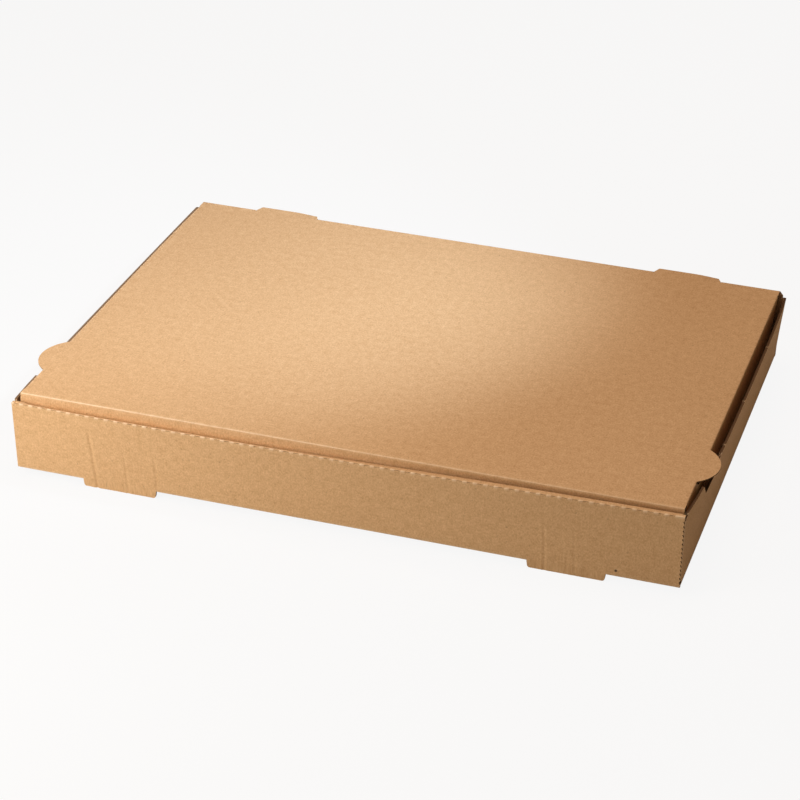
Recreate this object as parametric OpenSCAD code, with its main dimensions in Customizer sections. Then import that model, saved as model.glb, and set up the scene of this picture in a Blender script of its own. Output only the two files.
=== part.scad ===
// Folded pizza box in brown corrugated board, shown closed.
// The tray and the lid are one cut sheet, parted here along the fold that the lid swings on.
// Millimetres, +Z up. The origin is on the floor below the middle of the box, and +Y points at the back.

/* [Board] */
// Thickness of the corrugated board
board_t = 1.6; // [1.2:0.1:2.4]
// Inside radius of a fold
fold_r = 0.6; // [0.3:0.1:0.7]
// Gap between boards that lie against each other
ply_gap = 0.15; // [0.05:0.05:0.4]
// Clearance round a board that passes a cut edge
cut_gap = 0.4; // [0.2:0.1:1]
// Gap at the fold between the back wall and the lid, measured along each board
hinge_gap = 0.15; // [0.1:0.05:0.3]

/* [Tray] */
// Length of the box along its front
box_l = 460; // [360:1:600]
// Depth of the box from front to back
box_w = 330; // [260:1:460]
// Height of the front and side walls
wall_h = 51; // [46:1:80]
// Length of the corner flaps that the side walls tuck into the front and the back
corner_flap_l = 40; // [20:1:44]
// How far a corner flap stops short of the base and of the wall's top
corner_flap_trim = 2; // [1:0.5:6]

/* [Perforated front edge] */
// Distance from one cut of the perforation to the next
perf_pitch = 6.9; // [4:0.1:12]
// Length of each cut
perf_cut = 3.4; // [1:0.1:3.8]
// Width that a cut opens to when the edge is folded
perf_w = 0.6; // [0.3:0.1:1]

/* [Feet and lock slots] */
// Width of each foot, and of the slot that it leaves in the base
foot_w = 53; // [30:1:70]
// How far a foot stands below the base
foot_d = 5; // [2:0.5:8]
// How far each end of a foot slants in
foot_slant = 1.5; // [0:0.5:5]
// Distance from the end of the box to the middle of a foot
foot_inset = 75; // [50:1:100]
// Play at each end of a lock tab in its slot
lock_play = 1; // [0.3:0.1:3]

/* [Finger notches] */
// Width of the notch in the top of each side wall
notch_w = 46; // [45:1:70]
// Depth of the notch
notch_d = 10; // [6:0.5:14]
// How far each end of the notch slants in
notch_slant = 10; // [1:0.5:14]

/* [Lid] */
// Gap from the top of the walls to the underside of the lid
lid_clear = 1.8; // [0.5:0.1:3]
// Gap from a side wall to the lid's side flap
lid_side_gap = 1.1; // [0.5:0.1:3]
// Gap from the rolled front wall to the lid's front flap
lid_front_gap = 1.9; // [1.5:0.1:5]
// Depth of the front flap, from the top of the lid
front_flap_d = 38; // [20:1:42]
// How far the front flap leans in from upright, in degrees
front_flap_lean = 3; // [2:0.5:8]
// Depth of the side flaps, from the top of the lid
side_flap_d = 38; // [20:1:42]
// How far a side flap narrows at each end
side_flap_taper = 6; // [0:1:15]
// Distance from the lid's front and back edges to the ends of a side flap
side_flap_end = 6; // [4:1:15]

/* [Half-moon tabs] */
// Length of a half-moon tab along the lid's edge
moon_l = 42; // [30:1:44]
// How far a half-moon tab stands out
moon_d = 10.8; // [6:0.1:14]
// Distance from the front of the box to the middle of a half-moon tab
moon_y = 63; // [50:1:90]

/* [Back tongues] */
// Width of each tongue that the lid pushes out past the fold
tongue_w = 50; // [30:1:60]
// How far a tongue stands out
tongue_d = 6; // [5:0.5:10]
// How far each end of a tongue slants in
tongue_slant = 2; // [0:0.5:5]
// Distance from the end of the box to the middle of a tongue
tongue_inset = 72; // [70:1:100]

/* [Hidden] */
$fn = 64;
kraft = "#c89a68";
kraft_lid = "#d0a273";

bend_r = fold_r + board_t;
half_l = box_l / 2;
front_y = -(box_w + tongue_d) / 2;
back_y = front_y + box_w;
base_z = foot_d;
wall_z = base_z + wall_h;

// The front wall is rolled over the corner flaps, so its top is three boards wide.
strip_w = 3 * board_t + 2 * ply_gap;
inner_y = front_y + strip_w;
inner_half_l = half_l - board_t - cut_gap;

lid_z = wall_z + lid_clear + board_t;
lid_half_l = half_l - board_t - lid_side_gap;
lid_front_y = inner_y + lid_front_gap;
hinge_y = back_y - board_t - hinge_gap;

foot_x = half_l - foot_inset;
tongue_x = half_l - tongue_inset;
// A tongue's corner swings through the back wall on this radius as the lid turns.
window_d = norm([tongue_d, board_t]) + cut_gap;

moon_mid_y = front_y + moon_y;
moon_r = (pow(moon_l / 2, 2) + pow(moon_d, 2)) / (2 * moon_d);
flap_y0 = lid_front_y + side_flap_end;
flap_y1 = hinge_y - side_flap_end;
moon_y0 = moon_mid_y - moon_l / 2;
moon_y1 = moon_mid_y + moon_l / 2;

// Direction of an angle, as a point on a circle of radius r
function dir(r, a) = [r * cos(a), r * sin(a)];

// The stretches of a line from -half to half that two cuts of width w, at -x and x, leave standing
function between(half, x, w) = [[-half, -x - w / 2], [w / 2 - x, x - w / 2], [x + w / 2, half]];

// A flat shape in Y and Z, carried from x0 to x1
module along_x(x0, x1) {
  translate([x0, 0, 0]) rotate([90, 0, 90]) linear_extrude(height = x1 - x0) children();
}

// A flat shape in X and Z, carried from y0 to y1
module along_y(y0, y1) {
  translate([0, y1, 0]) rotate([90, 0, 0]) linear_extrude(height = y1 - y0) children();
}

// A flat shape in X and Y, carried from z0 to z1
module along_z(z0, z1) {
  translate([0, 0, z0]) linear_extrude(height = z1 - z0) children();
}

// A rectangle between two corners
module span(low, high) {
  translate(low) square(high - low);
}

// The board turning round a fold: part of a ring about a centre, from angle a0 to angle a1
module bend(centre, a0, a1) {
  reach = 2 * bend_r;
  translate(centre) intersection() {
    difference() {
      circle(r = bend_r);
      circle(r = fold_r);
    }
    polygon([[0, 0], dir(reach, a0), dir(reach, (a0 + a1) / 2), dir(reach, a1)]);
  }
}

// A tab with slanting ends: root is its full width at height r, tip its end at height t
module tab(x, w, slant, r, t) {
  polygon([[x - w / 2, r], [x - w / 2 + slant, t], [x + w / 2 - slant, t], [x + w / 2, r]]);
}

// A shape on the right of the box, and its mirror image on the left
module both_sides() {
  children();
  mirror([1, 0, 0]) children();
}

// The flat base, with the slots that the feet and the lock tabs use
module base_panel() {
  difference() {
    along_z(base_z, base_z + board_t)
      span([bend_r - half_l, front_y + bend_r], [half_l - bend_r, back_y - bend_r]);
    both_sides() along_z(base_z - board_t, base_z + 2 * board_t)
      span([foot_x - foot_w / 2, front_y], [foot_x + foot_w / 2, inner_y + cut_gap]);
  }
}

// The front panel in the plane of the front face, with its feet
module front_panel() {
  along_y(front_y, front_y + board_t) {
    span([-half_l, base_z + bend_r], [half_l, wall_z - bend_r]);
    for (x = [-foot_x, foot_x]) {
      span([x - foot_w / 2, base_z], [x + foot_w / 2, base_z + bend_r]);
      tab(x, foot_w, foot_slant, base_z, 0);
    }
  }
  for (r = between(half_l, foot_x, foot_w))
    along_x(r[0], r[1]) bend([front_y + bend_r, base_z + bend_r], 180, 270);
}

// One cut of the perforation, through the middle of the front panel's top fold
module perforation(x) {
  translate([x, front_y + bend_r, wall_z - bend_r]) rotate([45, 0, 0])
    translate([-perf_cut / 2, -perf_w / 2, fold_r / 2]) cube([perf_cut, perf_w, bend_r]);
}

// The roll-over: top fold, top strip and inner panel, with lock tabs down in the base slots
module roll_over() {
  strip_end_y = inner_y - bend_r;
  perf_half = half_l - perf_pitch / 2;
  difference() {
    along_x(-half_l, half_l) {
      bend([front_y + bend_r, wall_z - bend_r], 90, 180);
      span([front_y + bend_r, wall_z - board_t], [strip_end_y, wall_z]);
    }
    for (x = [-perf_half : perf_pitch : perf_half]) perforation(x);
  }
  along_x(-inner_half_l, inner_half_l) {
    bend([strip_end_y, wall_z - bend_r], 0, 90);
    span([inner_y - board_t, base_z + board_t + ply_gap], [inner_y, wall_z - bend_r]);
  }
  both_sides() along_y(inner_y - board_t, inner_y)
    span([foot_x - foot_w / 2 + lock_play, base_z],
         [foot_x + foot_w / 2 - lock_play, base_z + 2 * board_t]);
}

// One side wall on the right: bottom fold, wall, and a corner flap round each end
module side_wall() {
  y0 = front_y + board_t + ply_gap;
  y1 = back_y - board_t - ply_gap;
  flap_z0 = base_z + bend_r + corner_flap_trim;
  flap_z1 = wall_z - board_t - ply_gap - corner_flap_trim;
  flap_x = half_l - bend_r;
  difference() {
    along_y(y0, y1) bend([half_l - bend_r, base_z + bend_r], 270, 360);
    translate([0, 0, base_z + board_t]) along_z(0, bend_r) {
      span([0, y0], [half_l, y0 + bend_r]);
      span([0, y1 - bend_r], [half_l, y1]);
    }
  }
  difference() {
    along_y(y0 + bend_r, y1 - bend_r)
      span([half_l - board_t, base_z + bend_r], [half_l, wall_z]);
    // Room for the roll-over's top strip at the front corner
    along_z(wall_z - board_t - ply_gap, wall_z + board_t)
      span([half_l - 2 * board_t, y0], [half_l + board_t, inner_y + cut_gap]);
    translate([half_l - 2 * board_t, moon_mid_y, 0]) rotate([0, 0, 90])
      along_y(-3 * board_t, board_t) {
        tab(0, notch_w, notch_slant, wall_z, wall_z - notch_d);
        span([-notch_w / 2, wall_z], [notch_w / 2, wall_z + board_t]);
      }
  }
  along_z(flap_z0, flap_z1) {
    bend([flap_x, y0 + bend_r], 270, 360);
    span([flap_x - corner_flap_l, y0], [flap_x, y0 + board_t]);
    bend([flap_x, y1 - bend_r], 0, 90);
    span([flap_x - corner_flap_l, y1 - board_t], [flap_x, y1]);
  }
}

// The back wall up to the fold, narrowing to the lid above the side walls, with two vent windows
module back_wall() {
  difference() {
    intersection() {
      along_x(-half_l, half_l) polygon([
        [back_y - board_t, base_z + bend_r],
        [back_y, base_z + bend_r],
        [back_y, lid_z - hinge_gap],
        [back_y - board_t, lid_z - hinge_gap - board_t]
      ]);
      along_y(back_y - 2 * board_t, back_y + board_t) polygon([
        [-half_l, base_z],
        [half_l, base_z],
        [half_l, wall_z],
        [lid_half_l, lid_z],
        [-lid_half_l, lid_z],
        [-half_l, wall_z]
      ]);
    }
    both_sides() along_y(back_y - 2 * board_t, back_y + board_t)
      span([tongue_x - tongue_w / 2 - cut_gap, lid_z - window_d],
           [tongue_x + tongue_w / 2 + cut_gap, lid_z + board_t]);
  }
  along_x(-half_l, half_l) bend([back_y - bend_r, base_z + bend_r], 270, 360);
}

// The tray: base, rolled front wall, side walls and back wall of the folded sheet
module tray() {
  color(kraft) {
    base_panel();
    front_panel();
    roll_over();
    both_sides() side_wall();
    back_wall();
  }
}

// The lid's flat top, its mitred back edge at the fold, and the tongues that go past it
module lid_panel() {
  along_z(lid_z - board_t, lid_z) {
    span([bend_r - lid_half_l, lid_front_y + bend_r], [lid_half_l - bend_r, hinge_y]);
    for (x = [-tongue_x, tongue_x]) {
      span([x - tongue_w / 2, hinge_y], [x + tongue_w / 2, back_y]);
      tab(x, tongue_w, tongue_slant, back_y, back_y + tongue_d);
    }
  }
  for (r = between(lid_half_l, tongue_x, tongue_w)) along_x(r[0], r[1]) polygon([
    [hinge_y, lid_z - board_t],
    [hinge_y + board_t, lid_z],
    [hinge_y, lid_z]
  ]);
}

// The front flap, folded down behind the rolled front wall
module front_flap() {
  centre = [lid_front_y + bend_r, lid_z - bend_r];
  drop = front_flap_d - bend_r;
  along_x(-lid_half_l, lid_half_l) {
    bend(centre, 90, 180 + front_flap_lean);
    translate(centre) rotate(front_flap_lean) span([-bend_r, -drop], [-fold_r, 0]);
  }
}

// One side of the lid on the right: folded flap, the half-moon tab and the cut that it leaves
module lid_side() {
  edge_x = lid_half_l - bend_r;
  for (r = [[flap_y0, moon_y0], [moon_y1, flap_y1]])
    along_y(r[0], r[1]) bend([edge_x, lid_z - bend_r], 0, 90);
  along_z(lid_z - board_t, lid_z) {
    for (r = [[lid_front_y + bend_r, flap_y0], [moon_y0, moon_y1], [flap_y1, hinge_y]])
      span([edge_x, r[0]], [lid_half_l, r[1]]);
    intersection() {
      translate([lid_half_l + moon_d - moon_r, moon_mid_y]) circle(r = moon_r);
      span([edge_x, moon_y0], [lid_half_l + moon_d, moon_y1]);
    }
  }
  along_x(lid_half_l - board_t, lid_half_l) difference() {
    polygon([
      [flap_y0, lid_z - bend_r],
      [flap_y1, lid_z - bend_r],
      [flap_y1 - side_flap_taper, lid_z - side_flap_d],
      [flap_y0 + side_flap_taper, lid_z - side_flap_d]
    ]);
    translate([moon_mid_y, lid_z - moon_d + moon_r]) circle(r = moon_r);
  }
}

// The lid: top panel, front flap and side flaps of the folded sheet
module lid() {
  color(kraft_lid) {
    lid_panel();
    front_flap();
    both_sides() lid_side();
  }
}

tray();
lid();
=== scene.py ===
"""Closed pizza box of brown corrugated board: the folded sheet, its finish and a plain stage."""

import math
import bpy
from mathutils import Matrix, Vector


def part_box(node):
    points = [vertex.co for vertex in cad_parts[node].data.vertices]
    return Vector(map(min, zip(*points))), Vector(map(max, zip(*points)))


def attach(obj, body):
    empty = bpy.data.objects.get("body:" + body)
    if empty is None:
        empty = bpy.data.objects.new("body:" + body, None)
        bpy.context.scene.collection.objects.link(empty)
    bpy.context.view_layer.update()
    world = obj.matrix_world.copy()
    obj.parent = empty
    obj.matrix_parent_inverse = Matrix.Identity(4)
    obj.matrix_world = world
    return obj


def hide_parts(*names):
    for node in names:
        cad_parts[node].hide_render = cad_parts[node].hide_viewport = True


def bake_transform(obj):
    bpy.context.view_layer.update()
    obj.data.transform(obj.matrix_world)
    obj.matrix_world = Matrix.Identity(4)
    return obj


bl_info = {
    "name": "Folded pizza box",
    "version": (1, 0, 0),
    "blender": (4, 5, 0),
    "location": "View3D > Sidebar > Pizza box",
    "description": "Folds a pizza box from one sheet of corrugated board and sets it on a plain stage",
    "category": "Add Mesh",
}

from collections import namedtuple
from types import SimpleNamespace

import bpy
import numpy as np
from bpy.props import FloatProperty, FloatVectorProperty, PointerProperty
from mathutils import Matrix, Vector

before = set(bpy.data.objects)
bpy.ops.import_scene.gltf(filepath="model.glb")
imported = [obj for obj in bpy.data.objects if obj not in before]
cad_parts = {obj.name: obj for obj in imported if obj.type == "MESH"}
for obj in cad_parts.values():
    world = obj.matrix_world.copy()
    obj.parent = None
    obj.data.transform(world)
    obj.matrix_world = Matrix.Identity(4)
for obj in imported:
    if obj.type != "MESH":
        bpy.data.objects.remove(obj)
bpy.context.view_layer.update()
TRAY_LOW, TRAY_HIGH = (np.array(corner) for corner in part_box("tray"))
LID_LOW, LID_HIGH = (np.array(corner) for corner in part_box("lid"))

MM = 0.001
# Steps round a fold of a quarter turn, and round the one that the lid swings on
FOLD_STEPS = 6
HINGE_STEPS = 10
# Divisions of the lid along the box, from front to back and round a half-moon, and of the back fold
LID_COLUMNS, LID_ROWS, MOON_ROWS, HINGE_COLUMNS = 97, 71, 25, 81
# Divisions down the lid's front and side flaps, and along and up a side wall
FRONT_FLAP_ROWS, SIDE_FLAP_COLUMNS = 10, 8
WALL_ROWS, WALL_COLUMNS = 22, 11
# Distance from the front and the back to the first even division of a side wall
WALL_END = 12 * MM
# Heights at which the back wall is divided, and the distance to a division below its windows
BACK_HEIGHTS = np.array([40, 26, 14]) * MM
SILL = 4 * MM
# Vertices closer than this are one vertex of the sheet
WELD = 1e-6
# Folds are shaded smooth and cut edges stay sharp on either side of this angle
SHARP_ANGLE = math.radians(40)
# How squared off a fold's outer face is: 2 is a circle, and more comes nearer to a sharp corner
SQUARENESS = 6.0
# The same for the fold that turns down inside the rolled front wall, which is bent rather than creased
ROLL_SQUARENESS = 2.0
# How pale the lid's front fold is painted, at its left and right ends, and its side folds, at the left and
# right: partly stretched paper and partly a painted highlight, stronger on the left where the light falls
FRONT_FOLD_HIGHLIGHT = (0.95, 0.4)
SIDE_FOLD_HIGHLIGHT = (0.8, 0.1)
# Run of the small step in a side wall's top beside the rolled front wall
STEP_RUN = 0.2 * MM
# Share of its thickness that a half-moon loses at its edge, where the cutting rule pressed the board
RULE_CRUSH = 0.6
# How much paper shows on a cut along the flutes, which opens onto the hollow between the faces, at the
# left and right walls' tops, and how far across the sheet these lie. The rest of the cut is painted shade,
# and the left is paler than the right as painted light and shade: the left edge lit, the right one in the
# lid's shadow
EDGE_LIGHT_LEFT_RIGHT = (0.3, 0.08)
EDGE_LIGHT_REACH = 280 * MM
# Thickness of the paper drawn on a cut edge
EDGE_PAPER = 0.28 * MM
# Gap from the walls' tops to the underside of the lid
LID_CLEARANCE = 1.8 * MM
# Divisions of the sheet that come closer than these to a cut edge or a rounding are left out
CUT_CLEAR = 0.15 * MM
ROUND_CLEAR = 0.5 * MM
# Places of the divisions, as shares of the radius, at the rounded corners of a foot and of a tongue
FOOT_CORNER = np.array([0.12, 0.4, 0.8, 1.2])
TONGUE_CORNER = np.array([0, 0.15, 0.5, 1])
# Least height of a bridge between two cuts of the perforation, as a share of the greatest
BRIDGE_LEAST = 0.7
# The next values say how the slack is spread, in shares of the box's half length or of its depth.
# How much fuller the front wall's belly is on the left
BELLY_SKEW = 0.3
# Where the dip of the rolled top ends on the right, over how far it fades there, and at the left end
DIP_END, DIP_FADE, DIP_LEFT_FADE = 0.6, 1.1, 0.12
# Depth that holds the whole of the rolled wall
ROLL_DEPTH = 0.1
# Depth over which the lean of the right and the left wall builds up
LEAN_RUN_RIGHT, LEAN_RUN_LEFT = 0.14, 0.06
# How far from the right end the skew of the base fades
SKEW_FADE = 0.55
# The back wall goes with the lid in the last of this many parts of the depth
BACK_PART = 12
# Powers that hold a move to the back corners, to the right wall's back and to the walls' tops
CORNER_POWER, SINK_POWER, LEAN_POWER = 8, 4, 1.2
# The waves on the lid's crown: their share of it, turns along the box and lag towards the back
CROWN_WAVE, CROWN_TURNS, CROWN_LAG = 0.4, 5, 2
# Where the belly of the lid's front flap starts to fade, left of the middle, and over how far
FLAP_FADE_START, FLAP_FADE = 0.3, 0.9
SIDES = np.array([-1, 1])
OUTER, INNER, EDGE = range(3)
# The runs of the long strip, in the order in which the sheet passes through them
(BACK, BACK_FOLD, BASE, FRONT_FOLD, FRONT, TOP_FOLD, STRIP, INNER_FOLD, INNER_PANEL, LOCKS) = range(10)


def linear(code):
    """The linear RGBA of an sRGB hex colour: each channel's share of 255, with the sRGB curve undone."""
    share = np.array([int(code[i:i + 2], 16) for i in (1, 3, 5)]) / 255
    low = share / 12.92
    high = ((share + 0.055) / 1.055) ** 2.4
    return (*np.where(share <= 0.04045, low, high).tolist(), 1.0)


def length(name, description, millimetres):
    """A length that a user may change, written in millimetres and kept in metres."""
    return FloatProperty(name=name, description=description, default=millimetres * MM, unit="LENGTH")


def angle(name, description, degrees):
    """An angle that a user may change, written in degrees and kept in radians."""
    return FloatProperty(name=name, description=description, default=math.radians(degrees), subtype="ANGLE")


def tint(name, description, code):
    """A colour that a user may change, written as an sRGB hex value."""
    return FloatVectorProperty(
        name=name, description=description, default=linear(code), size=4, subtype="COLOR", min=0, max=1)


class BoardSizes(bpy.types.PropertyGroup):
    """The corrugated board and how it folds."""

    thickness: length("Thickness", "Thickness of the corrugated board", 1.6)
    fold: length("Fold", "Inside radius of a fold", 0.6)
    ply_gap: length("Ply gap", "Gap between boards that lie against each other", 0.15)
    cut_gap: length("Cut gap", "Clearance round a board that passes a cut edge", 0.4)
    flute: length("Flute", "Distance from one flute of the board to the next", 3.8)


class TraySizes(bpy.types.PropertyGroup):
    """The tray's walls, feet, notches and perforated front edge."""

    wall: length("Wall height", "Height of the front and side walls", 51)
    flap: length("Corner flap", "Length of the flaps tucked into the front and the back", 40)
    flap_trim: length("Flap trim", "How far a corner flap stops short of the fold and the wall's top", 2)
    perf_pitch: length("Perforation pitch", "Distance from one cut of the front edge to the next", 6.9)
    perf_cut: length("Perforation cut", "Length of each cut of the front edge", 3.4)
    perf_open: length("Perforation opening", "Width that a cut opens to when folded", 0.6)
    bridge: length("Bridge bulge", "How far the board between two cuts stands proud", 0.55)
    shoulder: length("Bridge shoulder", "Distance from a cut's end to where a bridge is full height", 0.7)
    serration: length("Serration", "Distance from one tooth of the front wall's right end to the next", 3.2)
    tooth: length("Tooth", "Depth of the teeth on the front wall's right end", 0.9)
    foot: length("Foot width", "Width of each foot", 53)
    foot_slant: length("Foot slant", "How far each end of a foot slants in", 0.7)
    foot_round: length("Foot rounding", "Radius on the lower corners of a foot", 1.6)
    foot_inset: length("Foot inset", "Distance from the end of the box to the middle of a foot", 75)
    lock_play: length("Lock play", "Play at each end of a lock tab in its slot", 1)
    notch: length("Notch width", "Width of the finger notch in each side wall", 46)
    notch_depth: length("Notch depth", "Depth of the finger notch", 10)
    notch_slant: length("Notch slant", "How far each end of the notch slants in", 10)
    nick: length("Nick", "Height of the torn nicks left on the right wall's top", 0.7)


class LidSizes(bpy.types.PropertyGroup):
    """The lid's flaps, half-moon tabs and back tongues."""

    side_gap: length("Side gap", "Gap from a side wall to the lid's side flap", 1.1)
    flap: length("Flap depth", "Depth of the front and side flaps from the top of the lid", 38)
    flap_taper: length("Flap taper", "How far a side flap narrows at each end", 6)
    flap_end: length("Flap end", "Distance from the lid's edges to the ends of a side flap", 6)
    front_lean: angle("Front lean", "How far the front flap leans in from upright", 3)
    side_lean: angle("Side lean", "How far the side flaps lean in from upright", 5)
    moon: length("Half-moon length", "Length of a half-moon tab along the lid's edge", 42)
    moon_y: length("Half-moon place", "Distance from the front of the box to a half-moon's middle", 63)
    tongue: length("Tongue width", "Width of each tongue past the back fold", 50)
    tongue_slant: length("Tongue slant", "How far each end of a tongue slants in", 2)
    tongue_round: length("Tongue rounding", "Radius on the corners of a tongue", 1.5)
    tongue_inset: length("Tongue inset", "Distance from the end of the box to a tongue's middle", 72)


class SlackSizes(bpy.types.PropertyGroup):
    """How the folded board has eased out of true."""

    front_left: length("Front left", "Rise of the front wall's top at its left end", -1.2)
    front_right: length("Front right", "Rise of the front wall's top at its right end", 1.7)
    front_bow: length("Front bow", "How far the front wall's top bows out", 1.5)
    front_sag: length("Front sag", "How far the front wall's top sags between its ends", 0.8)
    strip_dip: length("Strip dip", "How far the rolled top dips inwards, away from its right end", 2.6)
    back_twist: length("Back twist", "Rise of the back fold at the left and drop at the right", 1.3)
    back_right: length("Right wall drop", "How far the right wall's back corner has sunk", 2)
    lid_shift: length("Lid shift", "How far the lid sits to the right", 1.6)
    lid_slew: length("Lid slew", "How far the lid's front swings back to the left", 0.8)
    corner_in: length("Corner draw", "How far the lid's back left corner draws in", 1.6)
    lean_right: length("Right lean", "How far the right wall's top leans out", 6.6)
    lean_back: length("Back hold", "How far the back corner holds the right wall in", 2.4)
    lean_left: length("Left lean", "How far the left wall's top leans out near the front", 1.5)
    lid_crown: length("Lid crown", "How far the lid's middle stands above its edges", 0.5)
    base_skew: length("Base skew", "How far the base sits to the right below the walls' tops", 1.4)
    flap_belly: length("Flap belly", "How far the lid's front flap bellies out below its fold", 1.0)
    flap_tuck: length("Flap tuck", "How far the lid's front flap draws in at its right end", 0.6)
    tongue_droop: length("Tongue droop", "How far the right end of a tongue's tip droops", 0.9)


class Finish(bpy.types.PropertyGroup):
    """Colours of the kraft paper."""

    liner_dark: tint("Liner, dark fibre", "Darker fibres of the outside paper", "#bd915f")
    liner_light: tint("Liner, light fibre", "Lighter fibres of the outside paper", "#ebc594")
    inside_dark: tint("Inside, dark fibre", "Darker fibres of the inside paper", "#a88461")
    inside_light: tint("Inside, light fibre", "Lighter fibres of the inside paper", "#c5a27a")
    # Paler paper of a stretched fold, which also serves as a painted highlight along the folds
    crease: tint("Crease", "Stretched paper along a fold", "#f4d9b4")
    fleck: tint("Fleck", "Stray dark fibres", "#8f6a45")
    stain: tint("Stain", "Dark speck on the front wall", "#33261d")
    hollow: tint("Hollow", "Shade inside the flutes of a cut edge", "#452910")


class Studio(bpy.types.PropertyGroup):
    """Camera and lamps."""

    lens: FloatProperty(
        name="Lens", description="Focal length on a 36 mm frame", default=111.155, unit="CAMERA")
    azimuth: angle("Azimuth", "How far the camera stands to the right of the front", 17.68)
    elevation: angle("Elevation", "How far the camera looks down", 29.22)
    roll: angle("Roll", "Turn of the camera about its own axis", 0.72)
    eye: FloatVectorProperty(
        name="Eye", description="Place of the camera", default=(0.45627, -1.46341, 0.86743), subtype="XYZ")
    fill: FloatProperty(name="Fill", description="Strength of the light from all round", default=0.165)
    floor: tint("Floor", "Plain pale floor", "#cfccc6")


def plan():
    """The places that folds and cuts share, from the frame's boxes and the sizes above, in metres."""
    scene = bpy.context.scene
    board, tray, lid = scene.box_board, scene.box_tray, scene.box_lid
    p = SimpleNamespace(board=board, tray=tray, lid=lid, slack=scene.box_slack)
    p.bend = board.fold + board.thickness
    p.half = TRAY_HIGH[0]
    p.front, p.back = TRAY_LOW[1], TRAY_HIGH[1]
    p.lid_top = LID_HIGH[2]
    p.wall_top = p.lid_top - board.thickness - LID_CLEARANCE
    p.base = p.wall_top - tray.wall
    p.inner = p.front + 3 * board.thickness + 2 * board.ply_gap
    p.inner_half = p.half - board.thickness - board.cut_gap
    p.foot_x = p.half - tray.foot_inset
    p.lid_half = p.half - board.thickness - lid.side_gap
    p.lid_front = LID_LOW[1]
    p.moon_out = LID_HIGH[0] - p.lid_half
    p.moon_mid = p.front + lid.moon_y
    p.moon_radius = ((lid.moon / 2) ** 2 + p.moon_out ** 2) / (2 * p.moon_out)
    p.tongue_x = p.half - lid.tongue_inset
    p.tongue_tip = LID_HIGH[1]
    p.window = p.lid_top - math.hypot(p.tongue_tip - p.back, board.thickness) - board.cut_gap
    return p


Patch = namedtuple("Patch", "outer inner blank keep crease")


def straight(start, end, steps, inward):
    """Board that runs straight: its outer face from start to end, its inner face beside it by inward."""
    outer = np.linspace(start, end, steps + 1)
    return np.concatenate([outer, outer + np.asarray(inward)], axis=1)


def turned(centre, angles, p, squareness=SQUARENESS):
    """Board that turns round a fold, seen along it, at the given angles in degrees about the fold's centre.

    The inner face is a circle of the inside radius. The outer face is a corner squared off by the crush of
    the crease: the outside radius times cos and sin, each raised to 2 over the squareness.
    """
    turn = np.radians(angles)
    # Rounded so that a fold's ends lie exactly on the flats beside it
    circle = np.stack([np.cos(turn), np.sin(turn)], axis=1).round(9)
    corner = np.sign(circle) * np.abs(circle) ** (2 / squareness)
    return np.concatenate([centre + p.bend * corner, centre + p.board.fold * circle], axis=1)


def quarter(first, last, steps=FOLD_STEPS):
    """Angles of a fold from first to last, in degrees."""
    return np.linspace(first, last, steps + 1)


def join_runs(*runs):
    """Runs laid end to end. Each later run's first point repeats the end before it and is left out.

    Returns the points and, for each point, the number of the run that it ends in.
    """
    parts = [runs[0]] + [part[1:] for part in runs[1:]]
    kinds = np.concatenate([np.full(len(part), number) for number, part in enumerate(parts)])
    return np.concatenate(parts), kinds


def crease_weight(kinds, folds):
    """How pale the paper of each row is painted: a sine squared over each fold, nothing on the flats. It
    stands for stretched paper and partly for a painted highlight on the fold.
    """
    weight = np.zeros(len(kinds))
    for fold in folds:
        rows = kinds == fold
        weight[rows] = np.sin(np.pi * np.arange(1, rows.sum() + 1) / rows.sum()) ** 2
    return weight


def travelled(path):
    """Distance along the outer face of a path from its first point."""
    steps = np.linalg.norm(np.diff(path[:, :2], axis=0), axis=1)
    return np.concatenate([[0.0], np.cumsum(steps)])


def smooth(x):
    """A soft step from 0 to 1 as x goes from 0 to 1: 3 x squared less 2 x cubed."""
    x = np.clip(x, 0, 1)
    return x * x * (3 - 2 * x)


def grid(*parts):
    """Coordinates that are rows, columns or whole grids, spread over one grid and stacked last."""
    return np.stack(np.broadcast_arrays(*parts), axis=-1)


def divisions(*parts):
    """Places at which the sheet is divided, to the nearest micrometre, in order and once each."""
    return np.unique(np.round(np.concatenate([np.ravel(part) for part in parts]), 6))


def either_side(centres, half):
    """The two ends of each stretch about centres on the left and right, half a stretch to either side."""
    return (SIDES * centres)[:, None] + SIDES * half


def gap_to(places, others):
    """Distance from each place to the nearest of the others."""
    return np.abs(places[:, None] - others).min(axis=1)


def whole(shape):
    """Cells of a patch of which none is cut away."""
    return np.ones((shape[0] - 1, shape[1] - 1), bool)


def quads(rows, columns):
    """Corner numbers of each cell of a grid, as (rows - 1, columns - 1, 4)."""
    number = np.arange(rows * columns).reshape(rows, columns)
    return np.stack([number[:-1, :-1], number[:-1, 1:], number[1:, 1:], number[1:, :-1]], axis=-1)


def new_object(name, data):
    """An object in the scene that holds a mesh, a lamp or a camera."""
    piece = bpy.data.objects.new(name, data)
    bpy.context.scene.collection.objects.link(piece)
    return piece


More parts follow.
